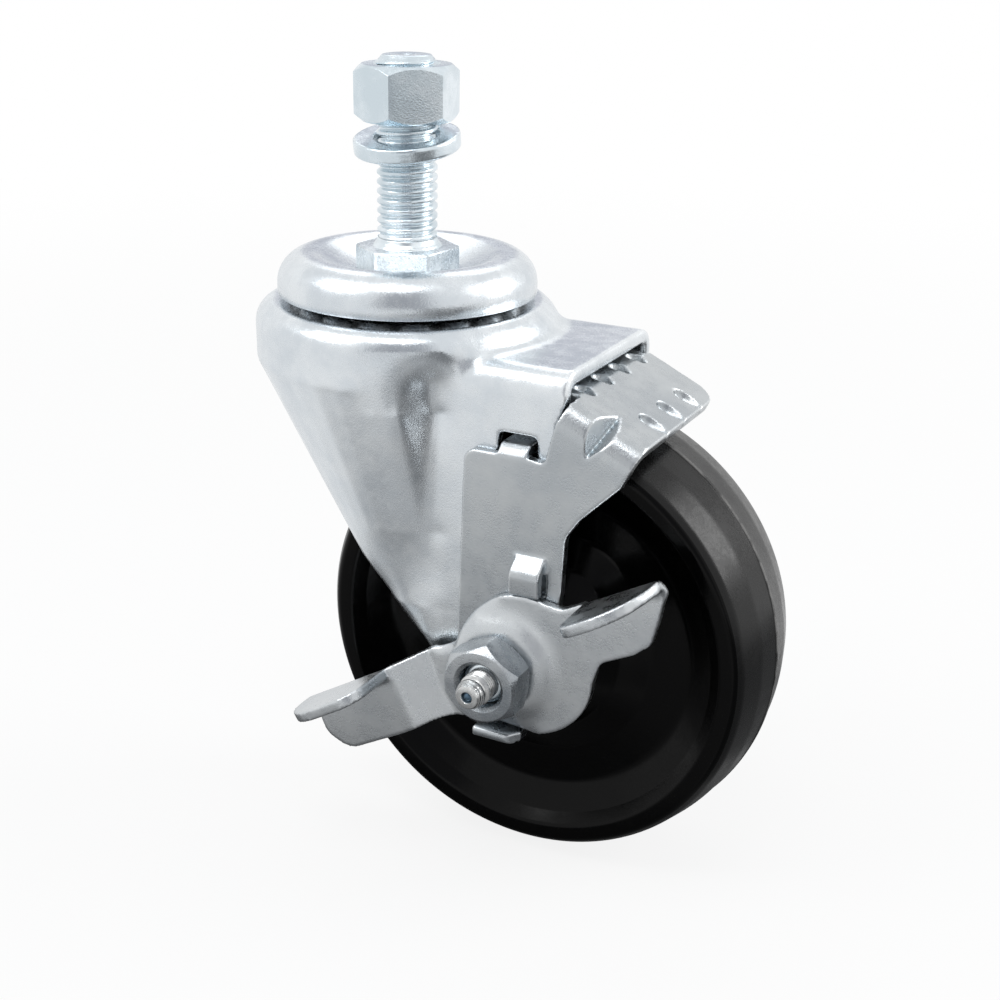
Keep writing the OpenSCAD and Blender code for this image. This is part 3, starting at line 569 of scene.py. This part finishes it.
def build_fitting():
    duct, shank, crest, root, pitch = 0.7, 2.38, 3.45, 3.3, 0.62
    outline = [(duct, -3.6), (shank, -3.6), (shank, 0), (root, 0.05), (crest, 0.3)]
    for k in range(5):
        foot = pitch * k
        outline += [(crest, foot + 0.5), (root, foot + 0.68), (root, foot + 0.78), (crest, foot + 0.96)]
    outline += [(3.4, 3.7), (3.1, 3.95), (2.75, 4.1), (2.6, 4.35), (2.7, 4.6), (3.0, 4.85), (3.12, 5.1),
                (3.08, 5.6), (2.98, 5.68), (2.98, 5.74), (3.02, 5.8), (2.92, 6.2), (2.82, 6.26), (2.84, 6.4),
                (2.72, 6.8), (2.6, 6.86), (2.6, 6.95), (2.38, 7.34), (2.25, 7.4)]
    outline += [(1.3, 7.4), (1.16, 7.2), (1.1, 6.5), (1.45, 6.0), (1.45, 3.0), (duct, 2.4)]
    verts, faces = lathe([(r, FITTING_SEAT + h) for r, h in outline], 64, on_axle)
    piece("grease_fitting_turned", verts, faces, "fork_unit", FITTING, ("grease_fitting",), sharp=35)


# Stage, with its sizes in metres: a pale floor, a white surround and soft lamps

FLOOR_Z = cad_box[0][2] - 0.0001
SHADE_Z = cad_box[0][2] + 0.0001
LAMP_AIM = Vector((0.012, 0, -0.06))


def plane(name, corners, material):
    mesh = bpy.data.meshes.new(name)
    mesh.from_pydata(corners, [], [(0, 1, 2, 3)])
    mesh.materials.append(material)
    made = bpy.data.objects.new(name, mesh)
    scene.collection.objects.link(made)
    return made


def level_square(half, z):
    return [(-half, -half, z), (half, -half, z), (half, half, z), (-half, half, z)]


def surround():
    """White all round, as the camera and the metal see it, and a softer room for the rest."""
    scene.world = bpy.data.worlds.new("studio")
    g = Graph(scene.world)
    room = g.add("Background", Color=(0.96, 0.98, 1.0, 1), Strength=0.55)
    white = g.add("Background", Color=(1, 1, 1, 1), Strength=1.0)
    g.finish(g.add("MixShader", _0=g.seen(), _1=room, _2=white), "OutputWorld")


def floor():
    """A pale floor that keeps a shadow near the castor and fades into the white surround."""
    g = material_graph("floor_white")
    diffuse = g.add("BsdfDiffuse", Color=(0.82, 0.82, 0.82, 1))
    glow = g.add("Emission", Color=(1, 1, 1, 1), Strength=1.0)
    far = g.vector("LENGTH", g.place(), output="Value")
    share = g.math("MULTIPLY", g.seen(), g.remap(far, 0.25, 0.9, 0.86, 1.0))
    g.finish(g.add("MixShader", _0=share, _1=diffuse, _2=glow))
    plane("floor", level_square(6, FLOOR_Z), g.owner)


def reflected_only(made):
    """Hides a plane from the camera and keeps it out of shadows and diffuse light."""
    made.visible_camera = False
    made.visible_shadow = False
    made.visible_diffuse = False


def screen(name, azimuth, width, low, high, tone):
    """A grey part of the studio one metre away, as the bright metal reflects it."""
    g = material_graph(name)
    g.finish(g.add("Emission", Color=tone, Strength=1.0))
    a = math.radians(azimuth)
    middle = Vector((math.sin(a), -math.cos(a), 0))
    side = Vector((math.cos(a), math.sin(a), 0)) * width / 2
    foot, top = Vector((0, 0, low)), Vector((0, 0, high))
    corners = [middle - side + foot, middle + side + foot, middle + side + top, middle - side + top]
    reflected_only(plane(name, corners, g.owner))


def floor_painted_shade():
    """Painted shade on the floor as the metal reflects it: a dark sheet for the castor's own shade near it
    and for darker lobes towards some sides.
    """
    g = material_graph("floor_painted_shade")
    flat = g.vector("MULTIPLY", g.vector("SUBTRACT", g.place(), (0.014, 0.0, 0.0)), (1, 1, 0))
    far = g.vector("LENGTH", flat, output="Value")
    direction = g.vector("NORMALIZE", flat)

    def facing(azimuth):
        """The cosine of the angle off an azimuth, which is 0 in front and 90 on the right."""
        a = math.radians(azimuth)
        return g.vector("DOT_PRODUCT", direction, (math.sin(a), -math.cos(a), 0.0), "Value")

    # painted shade: dark near the castor and in lobes towards some sides, clear elsewhere
    painted_shade_lobes = [
        g.remap(far, 0.06, 0.118, 0.88, 0.0),
        g.math("MULTIPLY", g.remap(facing(5.74), 0.35, 0.95, 0.1, 1), g.remap(far, 0.08, 0.31, 0.66, 0.0)),
        g.math("MULTIPLY", g.remap(facing(32), 0.9, 0.985, 0, 0.78), g.remap(far, 0.17, 0.26, 0, 1),
               g.remap(far, 0.29, 0.34, 1, 0.05)),
        g.math("MULTIPLY", g.remap(facing(65), 0.84, 0.96, 0, 0.8), g.remap(far, 0.06, 0.11, 0, 1)),
        g.math("MULTIPLY", g.remap(facing(95), 0.55, 0.8, 0, 0.85), g.remap(far, 0.05, 0.09, 0, 1),
               g.remap(far, 0.3, 0.45, 1, 0))]
    dark = g.add("BsdfDiffuse", Color=(0.05, 0.052, 0.056, 1))
    g.finish(g.add("MixShader", _0=g.math("MAXIMUM", *painted_shade_lobes), _1=g.add("BsdfTransparent"), _2=dark))
    reflected_only(plane("floor_painted_shade", level_square(1, SHADE_Z), g.owner))


def lamp(name, at, size, power):
    data = bpy.data.lights.new(name, "AREA")
    data.shape = "RECTANGLE"
    data.size, data.size_y = size
    data.energy = power
    made = bpy.data.objects.new(name, data)
    scene.collection.objects.link(made)
    made.location = at
    made.rotation_euler = (LAMP_AIM - Vector(at)).to_track_quat("-Z", "Y").to_euler()


def camera():
    """The photograph's camera, which was worked out from the wheel, the cap and the stud."""
    azimuth, elevation, roll = (math.radians(a) for a in (27.86, 24.87, 0.62))
    aim, distance = Vector((0.01375, 0, -0.0795)), 0.3495
    picture_px, focal_px, centre_px = 1000, 1526.6, (461.39, 600)
    back = Vector((math.sin(azimuth), -math.cos(azimuth), 0)) * math.cos(elevation)
    back.z = math.sin(elevation)
    level = Vector((math.cos(azimuth), math.sin(azimuth), 0))
    plumb = back.cross(level)
    right = level * math.cos(roll) + plumb * math.sin(roll)
    up = plumb * math.cos(roll) - level * math.sin(roll)
    data = bpy.data.cameras.new("camera")
    data.sensor_width = 36
    data.lens = focal_px * data.sensor_width / picture_px
    data.shift_x = (picture_px / 2 - centre_px[0]) / picture_px
    data.shift_y = (centre_px[1] - picture_px / 2) / picture_px
    data.clip_start, data.clip_end = 0.01, 50
    made = bpy.data.objects.new("camera", data)
    scene.collection.objects.link(made)
    m = Matrix((right, up, back)).transposed().to_4x4()
    m.translation = aim + back * distance
    made.matrix_world = m
    scene.camera = made


# Assembly

build_stem()
build_hexagon()
build_cap()
soften("fork", "fork_pressing", "fork_unit", ZINC_SHEET, 0.62, 5, shape_fork)
soften("brake_plate", "brake_plate_pressing", "brake_slide_unit", ZINC_BRAKE_PAINTED_SHADE, 0.34, 2)
soften("brake_lever", "brake_lever_pressing", "lever_unit", ZINC_LEVER_PAINTED_SHADE, 0.4, 3, shape_lever)
build_wheel()
build_nut("mounting_nut_turned", MOUNTING_NUT, upright, "stem_hardware", ZINC_SMALL, "mounting_nut")
build_nut("axle_nut_turned", AXLE_NUT, on_axle, "fork_unit", ZINC_NUT_PAINTED_SHADE, "axle_nut")
build_fitting()
soften("lock_washer", "lock_washer_coiled", "stem_hardware", ZINC_SMALL, 0.3, 3)
soften("axle_lock_washer", "axle_lock_washer_coiled", "fork_unit", ZINC_SMALL, 0.3, 3)
soften("axle", "axle_bolt", "fork_unit", ZINC_SMALL, 0.4, 2)
for name in ("thrust_washer_near", "thrust_washer_far"):
    dress(name, ZINC_SMALL)
dress("fitting_ball", BLUED)
for name in ("lower_race", "upper_balls", "lower_balls", "pivot_sleeve", "spring_washer", "spanner_bushing",
             "bearing_sleeve", "rollers"):
    dress(name, STEEL)
dress("roller_cage", BRASS)

surround()
floor()
screen("screen_front", 25, 0.8, -0.1, 2.0, (0.46, 0.465, 0.49, 1))
screen("screen_back", 208, 0.42, 0.12, 0.62, (0.62, 0.63, 0.69, 1))
floor_painted_shade()
lamp("key", (-0.55, -0.5, 0.8), (0.5, 0.5), 3.6)
lamp("top", (0.06, -0.42, 1.0), (0.5, 0.28), 2.2)
lamp("side", (0.83, 0.5, 0.46), (0.45, 0.6), 4.6)
lamp("back", (-0.4, 0.8, 0.85), (0.8, 0.35), 1.2)
camera()
scene.view_settings.view_transform = "Standard"
